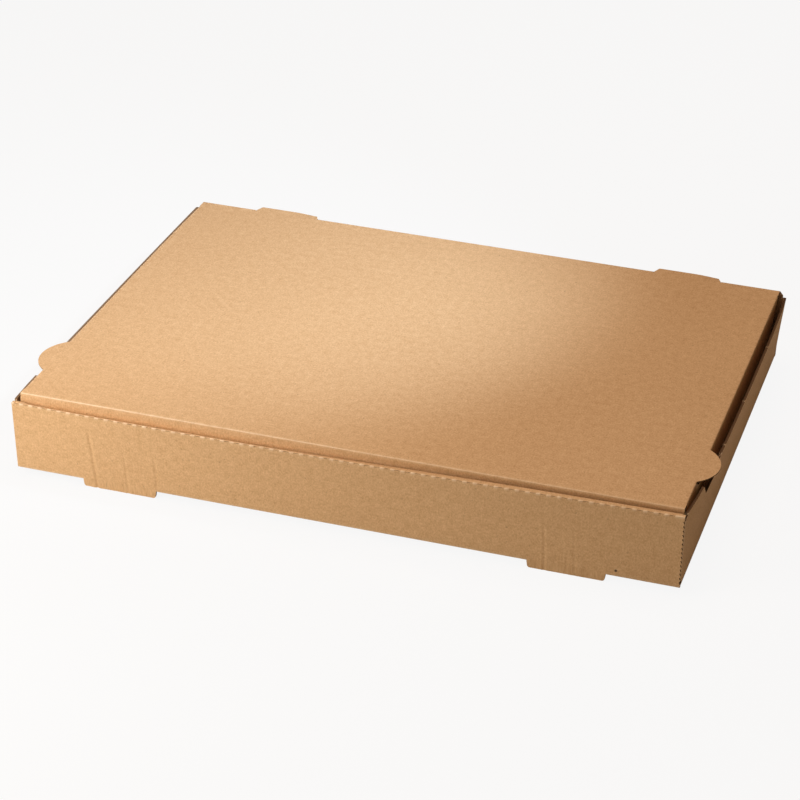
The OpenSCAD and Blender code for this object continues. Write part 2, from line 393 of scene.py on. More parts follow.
def fold_sheet(name, patches, thickness, finishes):
    """One object from patches of the sheet.

    Each patch is a grid of points on the outer face, whose column step crossed with its row step points
    outwards, and the points below them on the inner face. Outer points that coincide become one vertex, so
    patches join at their folds, and a rim closes every cut edge. The UV map "blank" holds the place on the
    flat sheet, and on a rim the place across the flutes and the depth below the outer face. The attribute
    "open" is 1 where a rim cuts across the flutes and 0 where it runs along them.
    """
    sizes = [patch.crease.shape for patch in patches]
    starts = np.cumsum([0] + [rows * columns for rows, columns in sizes])
    faces = np.concatenate([quads(*size)[patch.keep] + start
                            for patch, size, start in zip(patches, sizes, starts)])
    points, under, blank, crease = (
        np.concatenate([getattr(patch, part).reshape(rows * columns, -1)
                        for patch, (rows, columns) in zip(patches, sizes)])
        for part in ("outer", "inner", "blank", "crease"))

    keys = np.round(points / WELD).astype(np.int64)
    used, welded = np.unique(keys, axis=0, return_inverse=True)
    welded = welded.reshape(-1)
    count = len(used)
    vertices = np.zeros((2 * count, 3))
    vertices[welded] = points
    vertices[welded + count] = under
    fold_stretch_and_highlight = np.zeros(count)
    np.maximum.at(fold_stretch_and_highlight, welded, crease[:, 0])
    shape = welded[faces]

    edges = np.stack([shape.ravel(), np.roll(shape, -1, axis=1).ravel()], axis=1)
    corners = np.stack([faces.ravel(), np.roll(faces, -1, axis=1).ravel()], axis=1)
    code = np.sort(edges, axis=1) @ np.array([count, 1])
    _, which, times = np.unique(code, return_inverse=True, return_counts=True)
    cut = times[which.reshape(-1)] == 1
    a, b = edges[cut].T
    rim = np.stack([a, a + count, b + count, b], axis=1)
    u_a, u_b = blank[corners[cut]][..., 0].T
    rim_blank = grid(np.stack([u_a, u_a, u_b, u_b], axis=1), np.array([0, thickness, thickness, 0]))
    run_length = np.linalg.norm(vertices[b] - vertices[a], axis=1)
    crossing = np.clip(np.abs(u_b - u_a) / run_length, 0, 1)

    loops = np.concatenate([shape, shape[:, ::-1] + count, rim])
    uv = np.concatenate([blank[faces], blank[faces[:, ::-1]], rim_blank])
    kind = np.repeat([OUTER, INNER, EDGE], [len(shape), len(shape), len(rim)])
    in_use = np.zeros(2 * count, dtype=bool)
    in_use[loops.ravel()] = True
    renumber = np.cumsum(in_use) - 1
    mesh = bpy.data.meshes.new(name)
    mesh.from_pydata(vertices[in_use].tolist(), [], renumber[loops].tolist())
    mesh.uv_layers.new(name="blank").data.foreach_set("uv", uv.reshape(-1).astype(np.float32))
    # The attribute "crease" says how pale a fold is painted: stretched paper and a painted highlight
    mesh.attributes.new("crease", "FLOAT", "POINT").data.foreach_set(
        "value", np.concatenate([fold_stretch_and_highlight, fold_stretch_and_highlight])[in_use].astype(np.float32))
    mesh.attributes.new("open", "FLOAT", "FACE").data.foreach_set(
        "value", np.concatenate([np.zeros(2 * len(shape)), crossing]).astype(np.float32))
    mesh.polygons.foreach_set("material_index", kind.astype(np.int32))
    for finish in finishes:
        mesh.materials.append(finish)
    mesh.polygons.foreach_set("use_smooth", np.ones(len(loops), dtype=bool))
    mesh.set_sharp_from_angle(angle=SHARP_ANGLE)
    mesh.update()
    return new_object(name, mesh)


def corner_draw(across, depth, slack):
    """How far the lid and the back wall draw in to the right, most at their back left corner.

    It is a steep power of the depth, times the share of the way from the right end to the left.
    """
    return slack.corner_in * np.clip(depth, 0, 1) ** CORNER_POWER * (1 - across) / 2


def ease_tray(points, p, side=0):
    """Moves the folded tray to where its slack board has settled.

    A move grows with height from nothing at the base. The front top rises evenly from its left to its right
    end, sags and bows out between them, and dips inwards behind its fold. The back top twists and goes with
    the lid. A side wall (side is -1 or 1) leans out, which builds up fast behind the front corner. The
    right one is held a little at the back, and the left one's lean runs out there. The base sits further
    to the right than the walls' tops, except near its right end.
    """
    s = p.slack
    x, y, z = np.moveaxis(points, -1, 0)
    across = np.clip(x / p.half, -1, 1)
    depth = (y - p.front) / (p.back - p.front)
    height = np.clip((z - p.base) / p.tray.wall, 0, 1)
    near, far = smooth(1 - depth), smooth(depth)
    belly = (1 - across ** 2) * (1 - BELLY_SKEW * across)
    front_rise = s.front_left + (s.front_right - s.front_left) * (1 + across) / 2 - s.front_sag * belly
    back_rise = -s.back_twist * across if side == 0 else -s.back_right * (side > 0) * depth ** SINK_POWER
    move = np.zeros_like(points)
    thick = p.board.thickness
    outer_panel = smooth((p.inner - thick - y) / (p.inner - p.front - 2 * thick))
    inside = smooth((DIP_END - across) / DIP_FADE) * smooth((1 + across) / DIP_LEFT_FADE)
    dip = s.strip_dip * (1 - outer_panel) * height ** 2 * inside * (side == 0) * (depth < ROLL_DEPTH)
    move[..., 2] = height * (near * front_rise + far * back_rise) - dip
    move[..., 1] = -s.front_bow * belly * height ** 2 * outer_panel
    clear = np.clip(depth, 0, 1)
    if side > 0:
        lean = s.lean_right * (1 - np.exp(-depth / LEAN_RUN_RIGHT)) - s.lean_back * clear ** CORNER_POWER
        move[..., 0] = lean * height ** LEAN_POWER
    elif side < 0:
        move[..., 0] = -s.lean_left * (1 - np.exp(-clear / LEAN_RUN_LEFT)) * (1 - clear ** 2) * height
    else:
        with_lid = smooth(BACK_PART * depth - (BACK_PART - 1))
        move[..., 0] = (s.lid_shift + corner_draw(across, depth, s)) * height * with_lid
    move[..., 0] += s.base_skew * (1 - height) * smooth((1 - across) / SKEW_FADE)
    return points + move


def ease_lid(points, p):
    """Moves the folded lid to where it has settled.

    It sits to the right, slewed back at the front by the square of the distance from the back, twisted at
    the back, and crowned by a low dome with a wave on it.
    """
    s = p.slack
    x, y, _ = np.moveaxis(points, -1, 0)
    across = np.clip(x / p.half, -1, 1)
    depth = np.clip((y - p.front) / (p.back - p.front), 0, 1)
    wave = 1 + CROWN_WAVE * np.sin(CROWN_TURNS * x / p.half + CROWN_LAG * depth)
    crown = np.clip(1 - across ** 2, 0, 1) * np.sin(np.pi * depth) * wave
    move = np.zeros_like(points)
    move[..., 0] = s.lid_shift - s.lid_slew * (1 - depth) ** 2 + corner_draw(across, depth, s)
    move[..., 2] = -s.back_twist * across * smooth(depth) + s.lid_crown * crown
    return points + move


def settled(patch, ease, *settings):
    """The patch with both its faces moved by an easing function."""
    return patch._replace(outer=ease(patch.outer, *settings), inner=ease(patch.inner, *settings))


def mirrored(patch):
    """The patch's mirror image on the left, with its columns turned round so that it faces outwards."""
    flip = np.array([-1, 1, 1])
    outer, inner, blank, keep, crease = (part[:, ::-1] for part in patch)
    return Patch(outer * flip, inner * flip, blank * flip[:2], keep, crease)


# Buckles in the front wall near the feet, in millimetres: place at mid height, slant as run over rise,
# depth, half width and top
BUCKLES = (
    (-173.7, -0.085, 0.70, 1.2, 48),
    (-157.7, 0.0, 0.12, 1.0, 46),
    (-150.2, -0.053, 0.34, 1.1, 38),
    (-128.1, -0.033, 0.34, 1.1, 36),
    (139.9, -0.03, 0.28, 1.1, 37),
    (155.1, -0.02, 0.16, 1.0, 20),
    (160.1, -0.03, 0.16, 1.0, 38),
)
# Height over which a buckle fades in below its top, its reach in half widths, and its divisions
BUCKLE_FADE = 10 * MM
BUCKLE_REACH, BUCKLE_STEPS = 3, 13
# Place of the dark speck on the front wall, along the box and above the floor
STAIN = (188.1 * MM, 9.3 * MM)
# Places along the right wall where a nick of the die-cut sheet was torn off, and its half width at the top
NICKS = np.array([-70.6, -8.0, 76.0]) * MM
NICK_HALF = 0.5 * MM


def buckles(x, z, p):
    """How far the front wall's face is pushed in.

    Across each buckle it is a narrow bell less half a bell three times as wide, fading in below its top.
    """
    middle = p.base + p.tray.wall / 2
    total = np.zeros(np.broadcast(x, z).shape)
    for place, slant, deep, half, top in BUCKLES:
        off = (x - place * MM - slant * (z - middle)) / (half * MM)
        bell = np.exp(-off ** 2) - np.exp(-off ** 2 / 9) / 2
        total += deep * MM * bell * smooth((top * MM - z) / BUCKLE_FADE)
    return total


def strip_columns(p):
    """Where the long strip is divided along the box: at each cut, foot, lock tab, window and buckle.

    A foot's edges are there twice, so that the foot can part from the fold beside it.
    """
    t = p.tray
    first = t.perf_pitch / 2 - p.half
    slits = np.arange(first, -first, t.perf_pitch)
    slit_ends = slits[:, None] + SIDES * t.perf_cut / 2
    foot_edges = either_side(p.foot_x, t.foot / 2).ravel()
    lock_ends = either_side(p.foot_x, t.foot / 2 - t.lock_play)
    window_ends = either_side(p.tongue_x, p.lid.tongue / 2 + p.board.cut_gap)
    ends = SIDES[:, None] * np.array([p.half, p.half - p.bend, p.inner_half])
    cuts = np.concatenate([part.ravel() for part in (slit_ends, foot_edges, lock_ends, window_ends, ends)])

    rounding = foot_edges[:, None] - np.tile(SIDES, 2)[:, None] * (FOOT_CORNER * t.foot_round)
    place, half = (np.array([buckle[k] for buckle in BUCKLES]) * MM for k in (0, 3))
    ripple = place[:, None] + half[:, None] * np.linspace(-BUCKLE_REACH, BUCKLE_REACH, BUCKLE_STEPS)
    between = slits[:, None] + SIDES * (t.perf_cut / 2 + t.shoulder)
    shaping = np.concatenate([part.ravel() for part in (rounding, ripple, between)])
    shaping = shaping[(gap_to(shaping, cuts) > CUT_CLEAR) & (np.abs(shaping) < p.half)]
    columns = divisions(cuts, shaping)
    return np.sort(np.concatenate([columns, np.round(foot_edges, 6)])), slits


def side_rows(p):
    """Where the base and the side walls are divided from back to front, at each notch, nick and corner."""
    t = p.tray
    front_end = p.front + p.board.thickness + p.board.ply_gap + p.bend
    back_end = p.back - p.board.thickness - p.board.ply_gap - p.bend
    notch = p.moon_mid + SIDES[:, None] * (t.notch / 2 - np.array([0, t.notch_slant]))
    nicks = NICKS[:, None] + np.array([-2, -1, 1, 2]) * NICK_HALF
    slot = p.inner + p.board.cut_gap
    ends = [p.front + p.bend, front_end, slot, slot + STEP_RUN, back_end, p.back - p.bend]
    even = np.linspace(p.front + WALL_END, p.back - WALL_END, WALL_ROWS)
    rows = divisions(notch, nicks, ends, even)
    return rows[::-1], np.round(front_end, 6), np.round(back_end, 6)


def long_strip(p):
    """The strip from the back wall under the box and up over the rolled front wall, as one patch.

    Its profile runs down the back, round the fold, along the base, up the front, over the perforated fold
    and the narrow top, and down inside. Columns run along the box. Feet go straight down where the profile
    folds.
    """
    t, r, thick = p.tray, p.bend, p.board.thickness
    low, high = p.base + r, p.wall_top - r
    inner_turn = p.inner - r
    foot_of_panel = p.base + thick + p.board.ply_gap
    rows_y, _, _ = side_rows(p)
    teeth = 2 * round((high - low) / t.serration)
    # The cuts lie in the middle of the top fold, between the two angles that differ from 135 by this
    opening = math.degrees(t.perf_open / (2 * r))
    back = np.array([p.lid_top - r, p.wall_top, p.window, p.window - SILL, *BACK_HEIGHTS, low])
    path, kinds = join_runs(
        grid(p.back, back, p.back - thick, back),
        turned((p.back - r, low), quarter(0, -90), p),
        grid(rows_y, p.base, rows_y, p.base + thick),
        turned((p.front + r, low), quarter(270, 180), p),
        straight((p.front, low), (p.front, high), teeth, (thick, 0)),
        turned((p.front + r, high), [180, 168, 156, 135 + opening, 135 - opening, 114, 102, 90], p),
        straight((p.front + r, p.wall_top), (inner_turn, p.wall_top), 1, (0, -thick)),
        turned((inner_turn, high), quarter(90, 0), p, ROLL_SQUARENESS),
        straight((p.inner, high), (p.inner, foot_of_panel), 5, (-thick, 0)),
        straight((p.inner, foot_of_panel), (p.inner, p.base), 1, (-thick, 0)))
    columns, slits = strip_columns(p)
    x = np.tile(columns, (len(path), 1))
    y, z, under_y, under_z = (np.tile(path[:, [k]], (1, len(columns))) for k in range(4))
    distance = travelled(path)
    along = p.back - r + distance[np.argmax(kinds == BASE) - 1] - distance

    middle = (columns[:-1] + columns[1:]) / 2
    wide = np.diff(columns) > WELD
    foot_cell = (np.abs(np.abs(middle) - p.foot_x) < t.foot / 2) & wide
    in_foot = np.zeros(len(columns), dtype=bool)
    in_foot[:-1] |= foot_cell
    in_foot[1:] |= foot_cell

    # Feet: from the fold's top straight down to the floor, with slanting ends and rounded corners
    first = np.argmax(kinds == FRONT_FOLD) - 1
    feet = np.ix_(np.arange(first, first + FOLD_STEPS + 1), in_foot)
    foot = columns[in_foot]
    centre = np.sign(foot) * p.foot_x
    inset = t.foot / 2 - np.abs(foot - centre)
    short = np.clip(t.foot_round - inset, 0, t.foot_round)
    bottom = t.foot_round - np.sqrt(t.foot_round ** 2 - short ** 2)
    rise = bottom + np.linspace(0, 1, FOLD_STEPS + 1)[:, None] * (low - bottom)
    slant = 1 - t.foot_slant / (t.foot / 2) * np.clip(1 - rise / p.base, 0, 1)
    z[feet] = under_z[feet] = rise
    y[feet] = p.front
    under_y[feet] = p.front + thick
    x[feet] = centre + (foot - centre) * slant

    # The front wall's right end is toothed, its face is buckled, and bridges between its cuts stand proud
    in_front, in_top = ((kinds == kind)[:, None] for kind in (FRONT, TOP_FOLD))
    tooth = np.cumsum(in_front, axis=0) % 2 * in_front * t.tooth
    x[:, -1:] -= tooth
    from_slit = gap_to(columns, slits)
    number = np.round((columns + p.half) / t.perf_pitch).astype(int)
    variety = np.random.default_rng(5).uniform(BRIDGE_LEAST, 1, number.max() + 1)[number]
    bridged = smooth((from_slit - t.perf_cut / 2) / t.shoulder) * variety
    turn = np.arctan2(path[:, 3] - high, p.front + r - path[:, 2])[:, None]
    proud = in_top * np.abs(np.sin(2 * turn)) * bridged * t.bridge * math.sqrt(0.5)
    face = np.tile(in_front, (1, len(columns)))
    face[feet] = True
    push = face * buckles(x, z, p) - proud
    # The back wall narrows to the lid above the side walls
    narrow = (p.half - p.lid_half) / (p.lid_top - p.wall_top) / p.half
    x = x * (1 - narrow * np.clip(z - p.wall_top, 0, None) * (kinds == BACK)[:, None])

    cell = kinds[1:, None]
    mid_y, mid_z = (((path[:-1, k] + path[1:, k]) / 2)[:, None] for k in (0, 1))
    size = np.abs(middle)
    in_window = np.abs(size - p.tongue_x) < p.lid.tongue / 2 + p.board.cut_gap
    in_lock = np.abs(size - p.foot_x) < t.foot / 2 - t.lock_play
    in_slit = gap_to(middle, slits) < t.perf_cut / 2
    slit_row = (np.arange(len(path) - 1) == np.argmax(kinds == TOP_FOLD) + 2)[:, None]
    keep = np.tile(wide, (len(path) - 1, 1))
    keep &= ~((cell == BACK) & (mid_z > p.window) & in_window)
    keep &= ~((cell == BASE) & (size > p.half - r))
    keep &= ~((cell == BASE) & foot_cell & (mid_y < p.inner + p.board.cut_gap))
    keep &= ~((cell >= INNER_FOLD) & (size > p.inner_half))
    keep &= ~((cell == LOCKS) & ~in_lock)
    keep &= ~(slit_row & in_slit)

    stretch_and_highlight = crease_weight(kinds, (BACK_FOLD, FRONT_FOLD, TOP_FOLD))[:, None]
    # Bridges between the cuts are painted pale: stretched paper and a painted highlight where they catch
    # the light
    stretch_and_highlight = np.where(in_top, np.sqrt(stretch_and_highlight) * bridged, stretch_and_highlight)
    stretch_and_highlight[feet] = 0
    patch = Patch(
        grid(x, y + push, z + proud), grid(x, under_y + push, under_z + proud),
        grid(x, along[:, None]), keep, stretch_and_highlight)
    return settled(patch, ease_tray, p)


def side_wall(p, side):
    """One side of the tray as two patches: the fold along the base, and the wall with its corner flaps.

    The wall's rows run from the back corner flap round the corner, along the wall and round to the front
    flap. Its columns climb from the fold to the top edge, which dips at the finger notch and stands up at
    each nick.
    """
    t, r, thick = p.tray, p.bend, p.board.thickness
    rows_y, front_end, back_end = side_rows(p)
    low, corner = p.base + r, p.half - r
    turn = turned((corner, low), quarter(270, 360), p)
    reach = corner + travelled(turn)
    y = rows_y[:, None]
    shape = (len(rows_y), len(turn))
    fold_patch = Patch(
        grid(turn[:, 0], y, turn[:, 1]), grid(turn[:, 2], y, turn[:, 3]), grid(reach, y),
        whole(shape), np.broadcast_to(np.sin(np.linspace(0, np.pi, len(turn))) ** 2, shape))

    wall_y = rows_y[(rows_y <= back_end + WELD) & (rows_y >= front_end - WELD)]
    path, kinds = join_runs(
        straight((corner - t.flap, back_end + r), (corner, back_end + r), 4, (0, -thick)),
        turned((corner, back_end), quarter(90, 0), p),
        grid(p.half, wall_y, p.half - thick, wall_y),
        turned((corner, front_end), quarter(0, -90), p),
        straight((corner, front_end - r), (corner - t.flap, front_end - r), 4, (0, thick)))
    is_wall = (kinds == 2) | (np.roll(kinds, -1) == 2)
    strip_low = p.wall_top - thick - p.board.ply_gap
    slot = p.inner + p.board.cut_gap
    notch = p.moon_mid + np.array([-1, -1, 1, 1]) * (t.notch / 2 - np.array([0, 1, 1, 0]) * t.notch_slant)
    edge_y = [front_end, slot, slot + STEP_RUN, *notch, back_end]
    edge_z = [strip_low, strip_low, *(p.wall_top - np.array([0, 0, 1, 1, 0, 0]) * t.notch_depth)]
    top = np.interp(path[:, 1], edge_y, edge_z)
    if side > 0:
        top += t.nick * np.clip(2 - gap_to(path[:, 1], NICKS) / NICK_HALF, 0, 1)
    tall = is_wall | (kinds == 1) | (np.roll(kinds, -1) == 1)
    top = np.where(tall, top, strip_low - t.flap_trim)[:, None]
    bottom = np.where(is_wall, low, low + t.flap_trim)[:, None]
    z = bottom + np.linspace(0, 1, WALL_COLUMNS) * (top - bottom)
    x, y, under_x, under_y = (path[:, [k]] for k in range(4))
    distance = travelled(path)
    along = back_end + distance[np.argmax(is_wall)] - distance
    stretch_and_highlight = crease_weight(kinds, (1, 3))[:, None]
    wall_patch = Patch(
        grid(x, y, z), grid(under_x, under_y, z), grid(reach[-1] + z - low, along[:, None]),
        whole(z.shape), np.broadcast_to(stretch_and_highlight, z.shape))
    patches = (fold_patch, wall_patch)
    return [settled(patch if side > 0 else mirrored(patch), ease_tray, p, side) for patch in patches]


def lid_columns(p):
    """Where the lid is divided along the box: evenly, and at the rounded ends of the tongues."""
    tongues = np.array([-p.tongue_x, p.tongue_x])[:, None]
    reach = p.lid.tongue / 2 - TONGUE_CORNER * p.lid.tongue_round
    ends = np.concatenate([(tongues + reach).ravel(), (tongues - reach).ravel()])
    edge = p.lid_half - p.bend
    even = np.linspace(-edge, edge, LID_COLUMNS)
    corner = edge + np.linspace(0, 1, FOLD_STEPS + 1) * p.bend
    return divisions(-corner, even[gap_to(even, ends) > ROUND_CLEAR], ends, corner)


def lid_rows(p):
    """Where the lid is divided from front to back, with the ends of flap and half-moon there twice."""
    l = p.lid
    first, last = p.lid_front + p.bend, p.back - p.bend
    hinge = p.back - p.board.thickness - p.board.ply_gap
    flap = np.array([p.lid_front + l.flap_end, hinge - l.flap_end])
    moon = p.moon_mid + SIDES * l.moon / 2
    round_rows = p.moon_mid + np.sin(np.radians(np.linspace(-90, 90, MOON_ROWS)))[1:-1] * l.moon / 2
    breaks = np.concatenate([flap, moon])
    even = np.linspace(first, last, LID_ROWS)
    clear = gap_to(even, np.concatenate([breaks, round_rows])) > ROUND_CLEAR
    rows = np.concatenate([even[clear], round_rows, breaks, breaks])
    return np.sort(np.round(rows, 6)), np.round(flap, 6)


def lid_strip(p, rows, sheet_back):
    """The lid from the lower edge of its front flap, round the front fold and back to its tongues' tips."""
    l, r, thick = p.lid, p.bend, p.board.thickness
    fold_end = np.array([p.lid_front, p.lid_top - r])
    share = np.linspace(1, 0, FRONT_FLAP_ROWS)[:, None] ** 2
    lean = np.array([math.sin(l.front_lean), -math.cos(l.front_lean)])
    flap = fold_end + share * (l.flap - r) * lean
    panel = np.unique(rows)
    path, kinds = join_runs(
        np.concatenate([flap, flap + np.array([thick, 0])], axis=1),
        turned((p.lid_front + r, p.lid_top - r), quarter(180, 90), p),
        grid(panel, p.lid_top, panel, p.lid_top - thick),
        straight((panel[-1], p.lid_top), (p.back, p.lid_top), 1, (0, -thick)),
        straight((p.back, p.lid_top), (p.tongue_tip, p.lid_top), 4, (0, -thick)))
    columns = lid_columns(p)
    middle = (columns[:-1] + columns[1:]) / 2
    tongue_cell = np.abs(np.abs(middle) - p.tongue_x) < l.tongue / 2

    # Tongues: narrower towards the tip, with the tip's corners rounded back
    past = np.clip((path[:, :1] - p.back) / (p.tongue_tip - p.back), 0, 1)
    centre = np.sign(columns) * p.tongue_x
    off = columns - centre
    inwards = np.where(np.abs(off) <= l.tongue / 2 + WELD, off * l.tongue_slant / (l.tongue / 2), 0)
    x = columns - past * inwards
    short = np.clip(l.tongue_round - (l.tongue / 2 - np.abs(off)), 0, l.tongue_round)
    rounding = past * (l.tongue_round - np.sqrt(l.tongue_round ** 2 - short ** 2))
    droop = past * p.slack.tongue_droop * smooth(off / (l.tongue / 2)) ** 2
    # The front flap bellies out near its fold, as s (1 - s) to the fourth, whose peak is at s = 1 / 5
    swell = np.zeros((len(path), 1))
    swell[:len(share)] = 5 ** 5 / 4 ** 4 * share * (1 - share) ** 4
    fade = smooth((columns / p.lid_half + FLAP_FADE_START) / FLAP_FADE)
    belly = p.slack.flap_belly - (p.slack.flap_belly + p.slack.flap_tuck) * fade
    y, z, under_y, under_z = (path[:, [k]] for k in range(4))
    shift = rounding + swell * belly
    cell = kinds[1:, None]
    keep = (cell < 2) | ((cell == 2) & (np.abs(middle) < p.lid_half - r)) | ((cell > 2) & tongue_cell)
    distance = travelled(path)
    along = sheet_back + distance[np.argmax(kinds == 3) - 1] - distance
    # The front fold is painted paler towards its left end, a painted highlight where the light falls
    stretched = np.interp(columns, [-p.lid_half, p.lid_half], FRONT_FOLD_HIGHLIGHT)
    stretch_and_highlight = crease_weight(kinds, (1,))[:, None] * stretched
    return Patch(grid(x, y - shift, z - droop), grid(x, under_y - shift, under_z - droop),
                 grid(x, along[:, None]), keep, stretch_and_highlight)


def lid_side(p, rows, flap, sheet_back):
    """The lid's right side as two patches: the edge, and the flap folded down.

    Along the edge the board turns down through a fold, or runs on flat: at the ends of the flap, and out to
    the arc of the half-moon. The flap's upper edge dips where the half-moon was cut out of it, and its ends
    taper.
    """
    l, r, thick = p.lid, p.bend, p.board.thickness
    edge, fold_z = p.lid_half - r, p.lid_top - r
    # Stretches along the edge, each begun at a doubled row: front end, flap, half-moon, flap, back end
    stretch = np.cumsum(np.concatenate([[False], np.diff(rows) < WELD]))
    bent = np.isin(stretch, (1, 3))[:, None]
    turn = turned((edge, fold_z), quarter(90, 0), p)
    share = np.linspace(0, 1, len(turn))
    off = np.clip(np.abs(rows - p.moon_mid), 0, l.moon / 2)
    bulge = np.sqrt(p.moon_radius ** 2 - off ** 2) - (p.moon_radius - p.moon_out)
    flat = np.round(edge + share * np.where(stretch == 2, r + bulge, r)[:, None], 6)
    along = (sheet_back + p.back - r - rows)[:, None]
    y = rows[:, None]
    pressed = 1 - RULE_CRUSH * (stretch == 2)[:, None] * share ** 4
    edge_patch = Patch(
        grid(np.where(bent, turn[:, 0], flat), y, np.where(bent, turn[:, 1], p.lid_top)),
        grid(np.where(bent, turn[:, 2], flat), y, np.where(bent, turn[:, 3], p.lid_top - thick * pressed)),
        grid(flat, along), np.tile((np.diff(rows) > WELD)[:, None], (1, len(turn) - 1)),
        bent * np.sin(np.pi * share) ** 2)

    flap_rows = np.unique(rows[(rows >= flap[0] - WELD) & (rows <= flap[1] + WELD)])
    off = np.abs(flap_rows - p.moon_mid)
    arch = p.lid_top - p.moon_out + p.moon_radius - np.sqrt(np.clip(p.moon_radius ** 2 - off ** 2, 0, None))
    top = np.where(off < l.moon / 2, np.minimum(fold_z, arch), fold_z)[:, None]
    z = top - np.linspace(0, 1, SIDE_FLAP_COLUMNS) * (top - p.lid_top + l.flap)
    drop = fold_z - z
    taper = 1 - drop / (l.flap - r) * l.flap_taper / np.ptp(flap) * 2
    y = flap.mean() + (flap_rows[:, None] - flap.mean()) * taper
    x = p.lid_half - math.sin(l.side_lean) * drop
    along = (sheet_back + p.back - r - flap_rows)[:, None]
    flap_patch = Patch(
        grid(x, y, z), grid(x - thick, y, z), grid(p.lid_half + drop, along), whole(z.shape),
        np.zeros_like(z))
    return [edge_patch, flap_patch]


def back_fold(p):
    """The fold between back wall and lid: a quarter turn of the board, broken where the tongues pass."""
    r = p.bend
    turn = turned((p.back - r, p.lid_top - r), quarter(90, 0, HINGE_STEPS), p)
    even = np.linspace(-p.lid_half, p.lid_half, HINGE_COLUMNS)
    columns = divisions(even, either_side(p.tongue_x, p.lid.tongue / 2 + p.board.cut_gap))
    middle = np.abs(columns[:-1] + columns[1:]) / 2
    board_cell = np.abs(middle - p.tongue_x) > p.lid.tongue / 2 + p.board.cut_gap
    shape = (len(turn), len(columns))
    wall_end = p.half - (p.half - p.lid_half) * (p.lid_top - r - p.wall_top) / (p.lid_top - p.wall_top)
    y, z, under_y, under_z = (turn[:, [k]] for k in range(4))
    x = columns * (1 + (wall_end / p.lid_half - 1) * (p.lid_top - z) / r)
    along = (p.back + p.lid_top - travelled(turn))[:, None]
    # The fold is painted pale, as stretched paper and a painted highlight
    patch = Patch(grid(x, y, z), grid(x, under_y, under_z), grid(x, along),
                  np.tile(board_cell, (shape[0] - 1, 1)),
                  np.broadcast_to(np.sin(np.linspace(0, np.pi, len(turn)))[:, None] ** 2, shape))
    return settled(patch, ease_lid, p)


def add_node(tree, kind, settings=None, **inputs):
    """Adds a node with its settings, and sets or links each input by name or, as in_0, by number."""
    node = tree.nodes.new(kind)
    for key, value in (settings or {}).items():
        setattr(node, key, value)
    for key, value in inputs.items():
        name = int(key[3:]) if key.startswith("in_") else key.replace("_", " ")
        if isinstance(value, bpy.types.NodeSocket):
            tree.links.new(value, node.inputs[name])
        else:
            node.inputs[name].default_value = value
    return node


def maths(tree, operation, *values):
    """The result of an operation on values or sockets."""
    inputs = {f"in_{number}": value for number, value in enumerate(values)}
    return add_node(tree, "ShaderNodeMath", {"operation": operation}, **inputs).outputs[0]


def mix_colour(tree, share, first, second):
    """A colour that goes from first to second as the share goes from 0 to 1."""
    return add_node(tree, "ShaderNodeMix", {"data_type": "RGBA"},
                    in_0=share, in_6=first, in_7=second).outputs[2]


def ramp(tree, value, low, high, first, last):
    """A straight ramp from first to last as the value goes from low to high, level outside them."""
    return add_node(tree, "ShaderNodeMapRange", Value=value, From_Min=low, From_Max=high,
                    To_Min=first, To_Max=last).outputs[0]


def noise(tree, place, scale, detail, roughness=0.5):
    """The strength of a cloudy noise at a place on the sheet."""
    return add_node(tree, "ShaderNodeTexNoise", Vector=place, Scale=scale, Detail=detail,
                    Roughness=roughness).outputs["Fac"]


def flute_wave(tree, across, flute):
    """The sine wave of the flutes at a place across the sheet."""
    return maths(tree, "SINE", maths(tree, "MULTIPLY", across, 2 * math.pi / flute))


def new_material(name):
    """An empty material, its node tree and the tree's output node."""
    material = bpy.data.materials.new(name)
    material.use_nodes = True
    tree = material.node_tree
    tree.nodes.clear()
    output = add_node(tree, "ShaderNodeOutputMaterial")
    return material, tree, output


